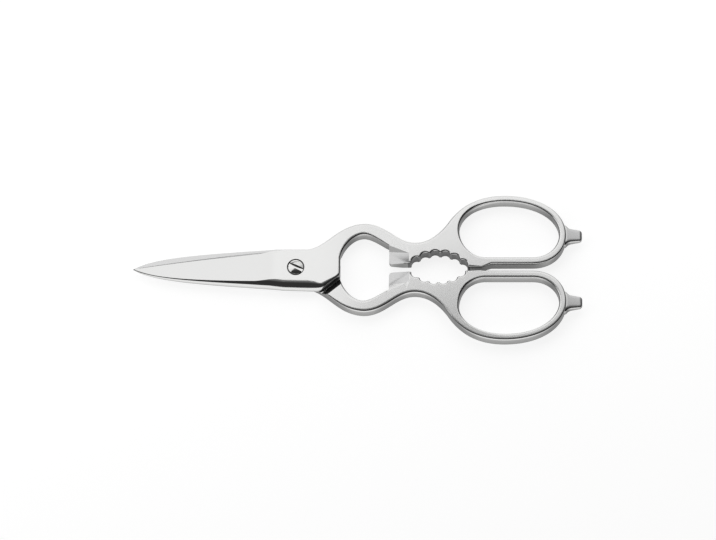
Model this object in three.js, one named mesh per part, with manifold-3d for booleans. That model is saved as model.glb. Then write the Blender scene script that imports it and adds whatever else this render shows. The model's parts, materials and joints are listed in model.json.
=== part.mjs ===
// Forged all-steel kitchen shears, lying flat and all but closed.
// Two forged halves cross on one slotted pivot screw. Each half is a blade, a bow that makes one side
// of the round bottle grip, a cap lifter, one toothed jaw of the nutcracker, a finger loop and a tail tip.
// The rear half is the front half turned over about the long axis.
// Millimetres, +X from the blades to the finger loops, +Z up, origin under the middle of the whole.

import * as THREE from 'three';
import { mergeVertices } from 'three/addons/utils/BufferGeometryUtils.js';
import Module from 'manifold-3d';

// Sizes of one half are measured from the pivot, with its own handle on the +Y side.

// Stock and fits
const HANDLE_THICKNESS = 6.6;
const EDGE_ROUND = 0.9;
const MATING_GAP = 0.3;
const RUNNING_CLEARANCE = 0.3;

// Blade
const BLADE_LENGTH = 72.6;
const HEEL_X = -11.8;
const HEEL_SPINE = 9.6;
const HEEL_EDGE = 8.45;
const TIP_WIDTH = 0.4;
const EDGE_BELLY = 0.55;
const TIP_EDGE_THICKNESS = 0.5;
const HEEL_EDGE_THICKNESS = 1.6;
const TIP_BEVEL = 0.35;
const HEEL_BEVEL = 1.3;
const CUTTING_LAND = 0.1;
const SPINE_ROUND_AT_TIP = 0.6;
const SPINE_ROUND_AT_HEEL = 3.9;

// Flat around the pivot
const RICASSO_SPINE = 10.5;
const RICASSO_EDGE = 8.45;
const RICASSO_ROUND = 5.6;
const RICASSO_END_X = 19.3;
const RICASSO_CORNER = 3;
const SPINE_CORNER = 6;
const GRIND_RUNOUT = 6;
const SHOULDER_ANGLE = 50;
const CORNER_CUT_DISTANCE = 15.5;
const SHOULDER_DISTANCE = 19.4;
const SHOULDER_LEAN = 1.5;

// Bow round the bottle grip
const BOW_X = 30.3;
const BOW_REACH = 21.25;
const BOW_BAND = 5.6;
const NECK_X = 53;
const NECK_REACH = 12.3;

// Cap lifter
const LIFTER_X = 41.5;
const LIFTER_EDGE = 2;
const LIFTER_CORNER = 1.4;
const LIFTER_ROOT = 10.5;
const LIFTER_THICKNESS = 2.6;
const LIFTER_RAMP = 9;
const LIFTER_FLOOR_WIDTH = 5.3;
const LIFTER_WALL_ANGLE = 36;

// Toothed jaw
const JAW_TO_LOOP = 8.55;
const JAW_REACH = 7;
const JAW_RADIUS = 16.9;
const JAW_TEETH = 6;
const TOOTH_DEPTH = 0.95;
const TOOTH_LAND = 0.9;

// Finger loop
const LOOP_X = 71.75;
const LOOP_HOLE_LENGTH = 45.4;
const LOOP_HOLE_HEIGHT = 26.7;
const LOOP_OUTER_BAR = 3;
const LOOP_END_BAR = 3.1;
const LOOP_INNER_BAR = 3.5;
const LOOP_INNER_EDGE = 1.5;
const LOOP_ROOT_WALL = 4.75;
const STOP_LENGTH = 6;
const STOP_RAMP = 4.5;
const FRONT_STOP_EDGE = 0.3;
const REAR_STOP_EDGE = 1.45;

// Tail tip
const TAIL_REACH = 7.15;
const TAIL_Y = 15.9;
const TAIL_ROOT_WIDTH = 8;
const TAIL_END_WIDTH = 5.2;
const TAIL_ROOT_THICKNESS = 4.6;
const TAIL_END_THICKNESS = 2;
const TAIL_CORNER = 1;

// Pivot screw
const SHANK_DIAMETER = 5;
const HEAD_DIAMETER = 6.8;
const HEAD_CLEARANCE = 0.5;
const HEAD_DEPTH = 1.6;
const HEAD_DOME = 0.5;
const SLOT_WIDTH = 1.4;
const SLOT_DEPTH = 1.3;
const SLOT_ANGLE = -24;

// Facets
const CURVE_STEPS = 12;
const ROUND_STEPS = 3;
const ROLL_STEPS = 7;
const BLADE_STEPS = 14;
const RUNOUT_STEPS = 5;
const SCREW_STEPS = 48;
const TOOTH_STEPS = 28;

const HALF_THICKNESS = HANDLE_THICKNESS / 2;
const MATING_FACE = MATING_GAP / 2;
const RICASSO_START_X = HEEL_X + GRIND_RUNOUT;
const JAW_X = LOOP_X - JAW_TO_LOOP;
const SHOULDER_HEADING = THREE.MathUtils.degToRad(SHOULDER_ANGLE);
const OVERCUT = 1;
const MERGE_DISTANCE = 1e-4;

const wasm = await Module();
wasm.setup();

// Solid from a closed three.js geometry, for joining and cutting.
// Triangles that shrink to a line when points merge are left out.
function solidOf(geometry) {
  const bare = geometry.clone();
  bare.deleteAttribute('normal');
  bare.deleteAttribute('uv');
  const merged = mergeVertices(bare, MERGE_DISTANCE);
  const corners = merged.index.array;
  const triangles = [];
  for (let i = 0; i < corners.length; i += 3) {
    const [a, b, c] = corners.slice(i, i + 3);
    if (a !== b && b !== c && c !== a) {
      triangles.push(a, b, c);
    }
  }
  return new wasm.Manifold(new wasm.Mesh({
    numProp: 3,
    vertProperties: new Float32Array(merged.attributes.position.array),
    triVerts: new Uint32Array(triangles),
  }));
}

function geometryOf(solid) {
  const mesh = solid.getMesh();
  const geometry = new THREE.BufferGeometry();
  geometry.setAttribute('position', new THREE.BufferAttribute(mesh.vertProperties, mesh.numProp));
  geometry.setIndex(new THREE.BufferAttribute(mesh.triVerts, 1));
  geometry.computeVertexNormals();
  return geometry;
}

// Skin over rings of equal point counts, closed by a fan at each end.
// Rings run counter-clockwise as seen from the far end.
function loft(rings) {
  const count = rings[0].length;
  const positions = rings.flat().flatMap((point) => [point.x, point.y, point.z]);
  const triangles = [];
  for (let ring = 0; ring + 1 < rings.length; ring += 1) {
    for (let i = 0; i < count; i += 1) {
      const a = ring * count + i;
      const b = ring * count + (i + 1) % count;
      triangles.push(a, b, b + count, a, b + count, a + count);
    }
  }
  const last = (rings.length - 1) * count;
  for (let i = 1; i + 1 < count; i += 1) {
    triangles.push(0, i + 1, i);
    triangles.push(last, last + i, last + i + 1);
  }
  const geometry = new THREE.BufferGeometry();
  geometry.setAttribute('position', new THREE.Float32BufferAttribute(positions, 3));
  geometry.setIndex(triangles);
  return geometry;
}

function uprightCylinder(radius, low, high, x, y, steps) {
  const geometry = new THREE.CylinderGeometry(radius, radius, high - low, steps);
  geometry.rotateX(Math.PI / 2);
  geometry.translate(x, y, (low + high) / 2);
  return solidOf(geometry);
}

// Blade: one loft from the tip to the ricasso, which is the flat around the pivot.
// Each ring holds the flat inner face, the ground edge, the outer face and the rolled spine.
function sectionRing(x, section) {
  const ring = [
    new THREE.Vector3(x, -section.spine, MATING_FACE),
    new THREE.Vector3(x, section.edge, MATING_FACE),
    new THREE.Vector3(x, section.edge, section.landTop),
    new THREE.Vector3(x, section.edge - section.bevel, section.bevelTop),
  ];
  for (let step = 0; step < ROLL_STEPS; step += 1) {
    const turn = (Math.PI / 2) * (step / ROLL_STEPS);
    const y = -section.spine + section.round * (1 - Math.sin(turn));
    const z = MATING_FACE + (section.top - MATING_FACE) * Math.cos(turn);
    ring.push(new THREE.Vector3(x, y, z));
  }
  return ring;
}

// The outer face is ground at one slope, so the blade thins as it narrows to the tip.
function bladeSection(x, spine) {
  const share = (x + BLADE_LENGTH) / (HEEL_X + BLADE_LENGTH);
  const belly = 4 * EDGE_BELLY * share * (1 - share);
  const roll = THREE.MathUtils.lerp(SPINE_ROUND_AT_TIP, SPINE_ROUND_AT_HEEL, Math.pow(share, 1.5));
  const edge = THREE.MathUtils.lerp(TIP_WIDTH / 2, HEEL_EDGE, share) + belly;
  const bevel = Math.min(THREE.MathUtils.lerp(TIP_BEVEL, HEEL_BEVEL, share), edge);
  const round = Math.min(roll, spine);
  const bevelTop = MATING_FACE + THREE.MathUtils.lerp(TIP_EDGE_THICKNESS, HEEL_EDGE_THICKNESS, share);
  const heelFace = HEEL_EDGE + HEEL_SPINE - SPINE_ROUND_AT_HEEL - HEEL_BEVEL;
  const grindSlope = (HALF_THICKNESS - MATING_FACE - HEEL_EDGE_THICKNESS) / heelFace;
  return {
    spine,
    edge,
    landTop: MATING_FACE + CUTTING_LAND,
    bevel,
    bevelTop,
    top: bevelTop + grindSlope * (edge + spine - round - bevel),
    round,
  };
}

function blendSections(from, to, share) {
  const names = Object.keys(from);
  return Object.fromEntries(names.map((name) => [name, THREE.MathUtils.lerp(from[name], to[name], share)]));
}

function bladeSolid() {
  const length = BLADE_LENGTH + HEEL_X;
  const spine = new THREE.CubicBezierCurve(
    new THREE.Vector2(-BLADE_LENGTH, TIP_WIDTH / 2),
    new THREE.Vector2(-BLADE_LENGTH + length * 0.135, HEEL_SPINE * 0.56),
    new THREE.Vector2(-BLADE_LENGTH + length * 0.435, HEEL_SPINE * 0.85),
    new THREE.Vector2(HEEL_X, HEEL_SPINE),
  );
  const rings = spine.getPoints(BLADE_STEPS)
    .map((point) => sectionRing(point.x, bladeSection(point.x, point.y)));
  const heel = bladeSection(HEEL_X, HEEL_SPINE);
  const ricasso = {
    spine: RICASSO_SPINE,
    edge: RICASSO_EDGE,
    landTop: HALF_THICKNESS - EDGE_ROUND,
    bevel: EDGE_ROUND,
    bevelTop: HALF_THICKNESS,
    top: HALF_THICKNESS,
    round: RICASSO_ROUND,
  };
  for (let step = 1; step <= RUNOUT_STEPS; step += 1) {
    const share = step / RUNOUT_STEPS;
    const section = blendSections(heel, ricasso, THREE.MathUtils.smoothstep(share, 0, 1));
    rings.push(sectionRing(HEEL_X + GRIND_RUNOUT * share, section));
  }
  rings.push(sectionRing(RICASSO_START_X + OVERCUT, ricasso));
  return solidOf(loft(rings));
}

// Centres of the two arcs that round the ricasso's cut-off corner.
function cornerCentres() {
  const cosine = Math.cos(SHOULDER_HEADING);
  const sine = Math.sin(SHOULDER_HEADING);
  const cutTop = (RICASSO_END_X * cosine - CORNER_CUT_DISTANCE) / sine;
  const cutEnd = (CORNER_CUT_DISTANCE - RICASSO_SPINE * sine) / cosine;
  const lowerTurn = Math.PI / 2 - SHOULDER_HEADING;
  return {
    upper: new THREE.Vector2(
      RICASSO_END_X - RICASSO_CORNER, cutTop + RICASSO_CORNER * Math.tan(SHOULDER_HEADING / 2),
    ),
    lower: new THREE.Vector2(cutEnd - SPINE_CORNER * Math.tan(lowerTurn / 2), SPINE_CORNER - RICASSO_SPINE),
  };
}

// Metal taken off the ricasso's outer edge to roll its spine. The roll fades out along the cut-off corner.
function spineRoll() {
  const { upper, lower } = cornerCentres();
  const fullDepth = HALF_THICKNESS - MATING_FACE;
  const ring = (centre, radius, heading, width, depth) => {
    const out = new THREE.Vector2(Math.cos(heading), Math.sin(heading));
    const point = (inset, z) => {
      const place = centre.clone().addScaledVector(out, radius - inset);
      return new THREE.Vector3(place.x, place.y, z);
    };
    const points = [point(-OVERCUT, HALF_THICKNESS + OVERCUT), point(-OVERCUT, HALF_THICKNESS - depth)];
    for (let step = ROLL_STEPS; step >= 0; step -= 1) {
      const turn = (Math.PI / 2) * (step / ROLL_STEPS);
      points.push(point(width * (1 - Math.sin(turn)), HALF_THICKNESS - depth * (1 - Math.cos(turn))));
    }
    points.push(point(width, HALF_THICKNESS + OVERCUT));
    return points;
  };
  const start = new THREE.Vector2(HEEL_X, lower.y);
  const rings = [ring(start, SPINE_CORNER, -Math.PI / 2, RICASSO_ROUND, fullDepth)];
  for (let step = 0; step <= RUNOUT_STEPS; step += 1) {
    const share = step / RUNOUT_STEPS;
    const heading = THREE.MathUtils.lerp(-Math.PI / 2, -SHOULDER_HEADING, share);
    const width = THREE.MathUtils.lerp(RICASSO_ROUND, RICASSO_ROUND / 2, share);
    const depth = THREE.MathUtils.lerp(fullDepth, fullDepth / 2, share);
    rings.push(ring(lower, SPINE_CORNER, heading, width, depth));
  }
  rings.push(ring(upper, RICASSO_CORNER, -SHOULDER_HEADING, EDGE_ROUND / 2, EDGE_ROUND / 2));
  return solidOf(loft(rings));
}

// Where the jaw's arc meets a level line, on the left (-1) or right (+1) of its centre.
const jawCentre = new THREE.Vector2(JAW_X, JAW_REACH - JAW_RADIUS);

function jawAngleAt(level, side) {
  const rise = Math.asin((level - jawCentre.y) / JAW_RADIUS);
  return side > 0 ? rise : Math.PI - rise;
}

// Plan of the ricasso and handle: bow, neck, finger loop, closing stop, jaw, cap lifter, bottle grip
// and round the ricasso's cut-off corner to its spine.
function handlePlan(stopEdge) {
  const rootX = RICASSO_END_X * 0.2;
  const holeTop = LOOP_INNER_EDGE + LOOP_INNER_BAR + LOOP_HOLE_HEIGHT;
  const holeBottom = LOOP_INNER_EDGE + LOOP_INNER_BAR;
  const holeMiddle = (holeTop + holeBottom) / 2;
  const holeEnd = LOOP_X + LOOP_HOLE_LENGTH;
  const loopTop = holeTop + LOOP_OUTER_BAR;
  const loopEnd = holeEnd + LOOP_END_BAR;
  const crownX = LOOP_X + LOOP_HOLE_LENGTH * 0.465;
  const flatStart = LOOP_X + LOOP_HOLE_LENGTH * 0.28;
  const flatEnd = LOOP_X + LOOP_HOLE_LENGTH * 0.74;
  const bowInner = BOW_REACH - BOW_BAND;
  const loopRootX = LOOP_X - LOOP_ROOT_WALL;
  const loopRootY = holeMiddle + LOOP_HOLE_HEIGHT * 0.11;
  const jawEnd = jawAngleAt(stopEdge, 1);
  const jawStart = jawAngleAt(LIFTER_EDGE, -1);
  const stopStart = jawCentre.x + JAW_RADIUS * Math.cos(jawEnd);

  const corner = cornerCentres();

  const plan = new THREE.Shape();
  plan.moveTo(RICASSO_START_X, RICASSO_EDGE);
  plan.lineTo(rootX, RICASSO_EDGE);
  plan.bezierCurveTo(
    rootX + (BOW_X - rootX) * 0.38, RICASSO_EDGE + (BOW_REACH - RICASSO_EDGE) * 0.05,
    rootX + (BOW_X - rootX) * 0.53, BOW_REACH - (BOW_REACH - RICASSO_EDGE) * 0.05,
    BOW_X, BOW_REACH,
  );
  plan.bezierCurveTo(
    BOW_X + (NECK_X - BOW_X) * 0.43, BOW_REACH,
    NECK_X - (NECK_X - BOW_X) * 0.37, NECK_REACH,
    NECK_X, NECK_REACH,
  );
  plan.bezierCurveTo(
    NECK_X + (loopRootX - NECK_X) * 0.5, NECK_REACH,
    loopRootX - (loopRootX - NECK_X) * 0.16, loopRootY - (loopRootY - NECK_REACH) * 0.35,
    loopRootX, loopRootY,
  );
  plan.bezierCurveTo(
    loopRootX + (crownX - loopRootX) * 0.24, loopRootY + (loopTop - loopRootY) * 0.7,
    crownX - (crownX - loopRootX) * 0.43, loopTop,
    crownX, loopTop,
  );
  plan.bezierCurveTo(
    crownX + (loopEnd - crownX) * 0.58, loopTop,
    loopEnd, TAIL_Y + (loopTop - TAIL_Y) * 0.58,
    loopEnd, TAIL_Y,
  );
  plan.bezierCurveTo(
    loopEnd, TAIL_Y - (TAIL_Y - LOOP_INNER_EDGE) * 0.6,
    loopEnd - (loopEnd - flatEnd) * 0.42, LOOP_INNER_EDGE,
    flatEnd, LOOP_INNER_EDGE,
  );
  plan.lineTo(stopStart + STOP_LENGTH + STOP_RAMP, LOOP_INNER_EDGE);
  plan.lineTo(stopStart + STOP_LENGTH, stopEdge);
  plan.absarc(jawCentre.x, jawCentre.y, JAW_RADIUS, jawEnd, jawStart, false);
  plan.absarc(
    LIFTER_X + LIFTER_CORNER, LIFTER_EDGE + LIFTER_CORNER, LIFTER_CORNER,
    -Math.PI / 2, -Math.PI, true,
  );
  plan.lineTo(LIFTER_X, LIFTER_ROOT);
  plan.bezierCurveTo(
    LIFTER_X - (LIFTER_X - BOW_X) * 0.27, LIFTER_ROOT + (bowInner - LIFTER_ROOT) * 0.32,
    BOW_X + (LIFTER_X - BOW_X) * 0.31, bowInner,
    BOW_X, bowInner,
  );
  plan.bezierCurveTo(
    BOW_X - (BOW_X - RICASSO_END_X) * 0.45, bowInner,
    RICASSO_END_X + (BOW_X - RICASSO_END_X) * 0.09, bowInner * 0.65,
    RICASSO_END_X, bowInner * 0.31,
  );
  plan.absarc(corner.upper.x, corner.upper.y, RICASSO_CORNER, 0, -SHOULDER_HEADING, true);
  plan.absarc(corner.lower.x, corner.lower.y, SPINE_CORNER, -SHOULDER_HEADING, -Math.PI / 2, true);
  plan.lineTo(RICASSO_START_X, -RICASSO_SPINE);
  plan.closePath();

  const hole = new THREE.Path();
  hole.moveTo(LOOP_X, holeMiddle);
  hole.bezierCurveTo(
    LOOP_X, holeMiddle - (holeMiddle - holeBottom) * 0.56,
    flatStart - (flatStart - LOOP_X) * 0.55, holeBottom,
    flatStart, holeBottom,
  );
  hole.lineTo(flatEnd, holeBottom);
  hole.bezierCurveTo(
    holeEnd - (holeEnd - flatEnd) * 0.42, holeBottom,
    holeEnd, TAIL_Y - (TAIL_Y - holeBottom) * 0.55,
    holeEnd, TAIL_Y,
  );
  hole.bezierCurveTo(
    holeEnd, TAIL_Y + (holeTop - TAIL_Y) * 0.58,
    crownX + (holeEnd - crownX) * 0.58, holeTop,
    crownX, holeTop,
  );
  hole.bezierCurveTo(
    crownX - (crownX - LOOP_X) * 0.55, holeTop,
    LOOP_X, holeMiddle + LOOP_HOLE_HEIGHT * 0.29,
    LOOP_X, holeMiddle,
  );
  plan.holes.push(hole);
  return plan;
}

// Room for the other half's ricasso: everything below the mating face on the blade's side of the shoulder,
// whose wall leans along its heading.
function shoulderPocket() {
  const along = new THREE.Vector3(Math.cos(SHOULDER_HEADING), Math.sin(SHOULDER_HEADING), 0);
  const across = new THREE.Vector3(-along.y, along.x, 0).multiplyScalar(BLADE_LENGTH);
  const leanPerHeight = SHOULDER_LEAN / HALF_THICKNESS;
  const corner = (distance, side, z) => along.clone()
    .multiplyScalar(distance)
    .addScaledVector(across, side)
    .setZ(z);
  const ring = (z) => {
    const near = -BLADE_LENGTH;
    const far = SHOULDER_DISTANCE - (HALF_THICKNESS + z) * leanPerHeight;
    return [corner(near, -1, z), corner(far, -1, z), corner(far, 1, z), corner(near, 1, z)];
  };
  return solidOf(loft([ring(-HALF_THICKNESS - OVERCUT), ring(MATING_FACE)]));
}

// Handle forging: the plan at full thickness with rounded edges, cut back to the mating face on the
// blade's side of the shoulder and rolled along the ricasso's spine.
function handleSolid(stopEdge) {
  const geometry = new THREE.ExtrudeGeometry(handlePlan(stopEdge), {
    depth: HANDLE_THICKNESS - 2 * EDGE_ROUND,
    curveSegments: CURVE_STEPS,
    bevelEnabled: true,
    bevelThickness: EDGE_ROUND,
    bevelSize: EDGE_ROUND,
    bevelOffset: -EDGE_ROUND,
    bevelSegments: ROUND_STEPS,
  });
  geometry.translate(0, 0, EDGE_ROUND - HALF_THICKNESS);
  return solidOf(geometry).subtract(shoulderPocket()).subtract(spineRoll());
}

// Tail tip: a tapered lug on the end of the loop, like a broad screwdriver tip.
function tailSolid() {
  const loopEnd = LOOP_X + LOOP_HOLE_LENGTH + LOOP_END_BAR;
  const ring = (x, width, thickness) => {
    const cut = Math.min(TAIL_CORNER, thickness / 3);
    const y = width / 2;
    const z = thickness / 2;
    return [
      [-y + cut, -z], [y - cut, -z], [y, -z + cut], [y, z - cut],
      [y - cut, z], [-y + cut, z], [-y, z - cut], [-y, -z + cut],
    ].map(([across, up]) => new THREE.Vector3(x, TAIL_Y + across, up));
  };
  const waistX = loopEnd + TAIL_REACH * 0.3;
  const waistWidth = THREE.MathUtils.lerp(TAIL_ROOT_WIDTH, TAIL_END_WIDTH, 0.6);
  return solidOf(loft([
    ring(loopEnd - LOOP_END_BAR / 2, TAIL_ROOT_WIDTH + TAIL_CORNER, TAIL_ROOT_THICKNESS),
    ring(loopEnd, TAIL_ROOT_WIDTH, TAIL_ROOT_THICKNESS),
    ring(waistX, waistWidth, THREE.MathUtils.lerp(TAIL_ROOT_THICKNESS, TAIL_END_THICKNESS, 0.4)),
    ring(loopEnd + TAIL_REACH - TAIL_CORNER, TAIL_END_WIDTH, TAIL_END_THICKNESS),
    ring(loopEnd + TAIL_REACH, TAIL_END_WIDTH - 1.5 * TAIL_CORNER, TAIL_END_THICKNESS - TAIL_CORNER),
  ]));
}

// Nutcracker teeth: upright scallops cut side by side along the jaw's arc.
function scallops() {
  const start = jawAngleAt(LIFTER_EDGE, -1);
  const end = jawAngleAt(FRONT_STOP_EDGE, 1);
  const pitch = (start - end) / JAW_TEETH;
  const halfWidth = (pitch - TOOTH_LAND / JAW_RADIUS) / 2;
  const depthRadius = JAW_RADIUS + TOOTH_DEPTH;
  const offset = (depthRadius ** 2 - JAW_RADIUS ** 2)
    / (2 * (depthRadius - JAW_RADIUS * Math.cos(halfWidth)));
  const cuts = [];
  for (let tooth = 0; tooth < JAW_TEETH; tooth += 1) {
    const angle = start - pitch * (tooth + 0.5);
    cuts.push(uprightCylinder(
      depthRadius - offset, -HANDLE_THICKNESS, HANDLE_THICKNESS,
      jawCentre.x + offset * Math.cos(angle), jawCentre.y + offset * Math.sin(angle), TOOTH_STEPS,
    ));
  }
  return cuts;
}

// Cap lifter recess on one face: a floor that ramps up to the face, with a leaning wall along the arm.
function lifterRecess() {
  const start = LIFTER_X - OVERCUT;
  const slope = (HALF_THICKNESS - LIFTER_THICKNESS / 2) / LIFTER_RAMP;
  const rampEnd = LIFTER_X + LIFTER_RAMP;
  const rise = OVERCUT * slope;
  const above = HALF_THICKNESS + OVERCUT;
  const wall = LIFTER_EDGE + LIFTER_FLOOR_WIDTH;
  const wallAtEnd = LIFTER_EDGE + LIFTER_FLOOR_WIDTH * 0.75;
  const wallHeight = above - LIFTER_THICKNESS / 2 + rise;
  const wallRun = wallHeight / Math.tan(THREE.MathUtils.degToRad(LIFTER_WALL_ANGLE));
  const below = LIFTER_EDGE - LIFTER_THICKNESS;
  const floor = [
    new THREE.Vector3(start, below, LIFTER_THICKNESS / 2 - rise),
    new THREE.Vector3(rampEnd + OVERCUT, below, HALF_THICKNESS + rise),
    new THREE.Vector3(rampEnd + OVERCUT, wallAtEnd, HALF_THICKNESS + rise),
    new THREE.Vector3(start, wall, LIFTER_THICKNESS / 2 - rise),
  ];
  const roof = [
    new THREE.Vector3(start, below, above),
    new THREE.Vector3(rampEnd + OVERCUT, below, above),
    new THREE.Vector3(rampEnd + OVERCUT, wallAtEnd, above),
    new THREE.Vector3(start, wall + wallRun, above),
  ];
  return solidOf(loft([floor, roof]));
}

// One forged half. The front half is counterbored for the screw's head.
function forgedHalf(stopEdge, counterbored) {
  const boreRadius = SHANK_DIAMETER / 2 + RUNNING_CLEARANCE;
  let half = handleSolid(stopEdge).add(bladeSolid()).add(tailSolid());
  for (const cut of scallops()) {
    half = half.subtract(cut);
  }
  const recess = lifterRecess();
  half = half.subtract(recess).subtract(recess.mirror([0, 0, 1]));
  half = half.subtract(uprightCylinder(
    boreRadius, -HANDLE_THICKNESS, HANDLE_THICKNESS, 0, 0, SCREW_STEPS,
  ));
  if (counterbored) {
    const seat = HALF_THICKNESS - HEAD_DEPTH - RUNNING_CLEARANCE;
    half = half.subtract(uprightCylinder(
      HEAD_DIAMETER / 2 + HEAD_CLEARANCE, seat, HANDLE_THICKNESS, 0, 0, SCREW_STEPS,
    ));
  }
  return geometryOf(half);
}

// Pivot screw: domed slotted head in the front half, shank flush with the rear half's outer face.
function pivotScrew() {
  const headRadius = HEAD_DIAMETER / 2;
  const underHead = HALF_THICKNESS - HEAD_DEPTH;
  const profile = [
    new THREE.Vector2(0, -HALF_THICKNESS),
    new THREE.Vector2(SHANK_DIAMETER / 2, -HALF_THICKNESS),
    new THREE.Vector2(SHANK_DIAMETER / 2, underHead),
    new THREE.Vector2(headRadius, underHead),
    new THREE.Vector2(headRadius, HALF_THICKNESS),
  ];
  for (let step = 1; step <= ROUND_STEPS; step += 1) {
    const turn = (Math.PI / 2) * (step / ROUND_STEPS);
    const radius = step < ROUND_STEPS ? headRadius * Math.cos(turn) : 0;
    profile.push(new THREE.Vector2(radius, HALF_THICKNESS + HEAD_DOME * Math.sin(turn)));
  }
  const turned = new THREE.LatheGeometry(profile, SCREW_STEPS);
  turned.rotateX(Math.PI / 2);
  const slot = new THREE.BoxGeometry(HEAD_DIAMETER + OVERCUT, SLOT_WIDTH, 2 * SLOT_DEPTH);
  slot.rotateZ(THREE.MathUtils.degToRad(SLOT_ANGLE));
  slot.translate(0, 0, HALF_THICKNESS + HEAD_DOME);
  return geometryOf(solidOf(turned).subtract(solidOf(slot)));
}

const satinSteel = new THREE.MeshStandardMaterial({ color: 0xc9cacb, roughness: 0.34, metalness: 1 });
const screwSteel = new THREE.MeshStandardMaterial({ color: 0xd4d5d6, roughness: 0.2, metalness: 1 });

function piece(name, geometry, material) {
  const mesh = new THREE.Mesh(geometry, material);
  mesh.name = name;
  return mesh;
}

const frontHalf = piece('front_half', forgedHalf(FRONT_STOP_EDGE, true), satinSteel);
const rearHalf = piece('rear_half', forgedHalf(REAR_STOP_EDGE, false), satinSteel.clone());
rearHalf.rotation.x = Math.PI;
const screw = piece('pivot_screw', pivotScrew(), screwSteel);

const shears = new THREE.Group();
shears.name = 'kitchen_shears';
shears.add(rearHalf, frontHalf, screw);

// Stand the whole on z = 0 with the origin under the middle of its box.
shears.updateMatrixWorld(true);
const box = new THREE.Box3().setFromObject(shears, true);
const middle = box.getCenter(new THREE.Vector3());
shears.position.set(-middle.x, -middle.y, -box.min.z);
shears.updateMatrixWorld(true);

export default shears;
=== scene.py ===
import json
import math

import bmesh
import bpy
import numpy as np
from mathutils import Matrix, Vector


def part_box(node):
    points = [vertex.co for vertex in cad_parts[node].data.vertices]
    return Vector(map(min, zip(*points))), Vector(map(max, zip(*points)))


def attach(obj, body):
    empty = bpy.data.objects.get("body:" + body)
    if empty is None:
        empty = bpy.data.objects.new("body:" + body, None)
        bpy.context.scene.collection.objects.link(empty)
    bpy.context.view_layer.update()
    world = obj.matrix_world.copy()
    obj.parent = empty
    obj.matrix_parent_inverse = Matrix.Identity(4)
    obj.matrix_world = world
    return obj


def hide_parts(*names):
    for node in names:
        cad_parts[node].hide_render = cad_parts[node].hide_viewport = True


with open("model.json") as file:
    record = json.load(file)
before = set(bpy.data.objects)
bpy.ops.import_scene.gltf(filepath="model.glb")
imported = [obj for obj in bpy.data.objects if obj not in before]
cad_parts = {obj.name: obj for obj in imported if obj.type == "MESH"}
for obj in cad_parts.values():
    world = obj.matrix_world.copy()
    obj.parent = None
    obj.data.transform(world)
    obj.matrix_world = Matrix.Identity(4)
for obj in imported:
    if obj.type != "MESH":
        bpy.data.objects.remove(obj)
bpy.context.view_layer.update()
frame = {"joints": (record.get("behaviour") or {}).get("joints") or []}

# Forged halves. Each is one stainless forging: blade, flat around the pivot (ricasso), bow, cap lifter,
# toothed jaw, finger loop and tail tip. Both come from the same dies, and the rear one is turned over about
# the long axis and crosses under the front one. Lengths are in millimetres, measured from the pivot.

MM = 0.001
pivot = Vector(frame["joints"][0]["pos_m"])
front_low, front_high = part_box("front_half")
half_thickness = (front_high.z - front_low.z) / 2 / MM
mating_face = 0.155
skin_inset = 0.005

blade_length = 72.6
heel_x = -11.8
heel_spine = 9.5
heel_edge = 8.45
tip_width = 0.4
edge_belly = 0.55
tip_edge_thickness = 0.5
heel_edge_thickness = 1.6
tip_bevel = 0.35
heel_bevel = 1.3
cutting_land = 0.1
spine_round_at_tip = 0.6
spine_round_at_heel = 2.9
spine_crease = 15.0
roll_start = -19.0
bevel_fade_start = -18.0
bevel_fade_end = -8.4

ricasso_spine = 10.7
spine_slope = 0.035
ricasso_edge = 8.45
ricasso_round = 4.6
ricasso_end = 19.8
flush_spine = 9.8
ricasso_joint = -5.8
ricasso_corner = 3.0
spine_corner = 6.0
corner_heading = -50.0
corner_distance = 15.5
shoulder_heading = 50.0
shoulder_distance = 19.4
shoulder_lean = 3.2
shoulder_round = 0.7

bow_x = 30.3
bow_reach = 21.25
bow_band = 5.6
neck_x = 53.0
neck_reach = 12.1

lifter_x = 41.5
lifter_edge = 2.0
lifter_corner = 1.4
lifter_root = 10.5
lifter_thickness = 2.6
lifter_ramp = 9.0
lifter_floor = 6.15
lifter_wall = 39.3
lifter_rear_wall = 30.0

jaw_x = 63.2
jaw_reach = 7.0
jaw_radius = 16.9
jaw_teeth = 6
tooth_depth = 0.95
tooth_land = 0.9

loop_x = 72.75
loop_length = 44.4
loop_height = 26.5
loop_outer_bar = 3.2
loop_end_bar = 3.1
loop_inner_bar = 3.5
loop_inner_edge = 1.5
loop_root_wall = 5.25
stop_length = 6.0
stop_ramp = 4.5
front_stop_edge = 0.3
rear_stop_edge = 1.45

tail_reach = 7.15
tail_y = 15.9
tail_root_width = 8.0
tail_end_width = 5.6
tail_root_thickness = 4.6
tail_end_thickness = 2.5
tail_end_round = 1.7
tail_end_narrowing = 3.2
tail_end_thinning = 1.6

# Rounded edges: width across the face and depth down the wall. The face between them is slightly crowned.
flat_round = 0.3
bow_round = 1.0
loop_round = 0.75
loop_end_round = 0.75
loop_round_depth = 0.95
palm_round = 1.45
palm_round_depth = 2.3
jaw_round = 0.85
bow_crown = 0.7
loop_crown = 0.7
crown_angle = 14.0
round_steps = 10
crown_steps = 6
flat_margin = 0.1

bore_radius = 2.8
counterbore_radius = 3.9
counterbore_depth = 1.9


def bezier(start, pull_start, pull_end, end, steps=44):
    """Points along a cubic curve, without its last point."""
    t = np.linspace(0, 1, steps, endpoint=False)[:, None]
    s = 1 - t
    a, b, c, d = (np.array(p, float) for p in (start, pull_start, pull_end, end))
    return s ** 3 * a + 3 * s * s * t * b + 3 * s * t * t * c + t ** 3 * d


def straight(start, end, steps=12):
    """Points along a line, without its last point."""
    t = np.linspace(0, 1, steps, endpoint=False)[:, None]
    return np.array(start, float) * (1 - t) + np.array(end, float) * t


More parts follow.
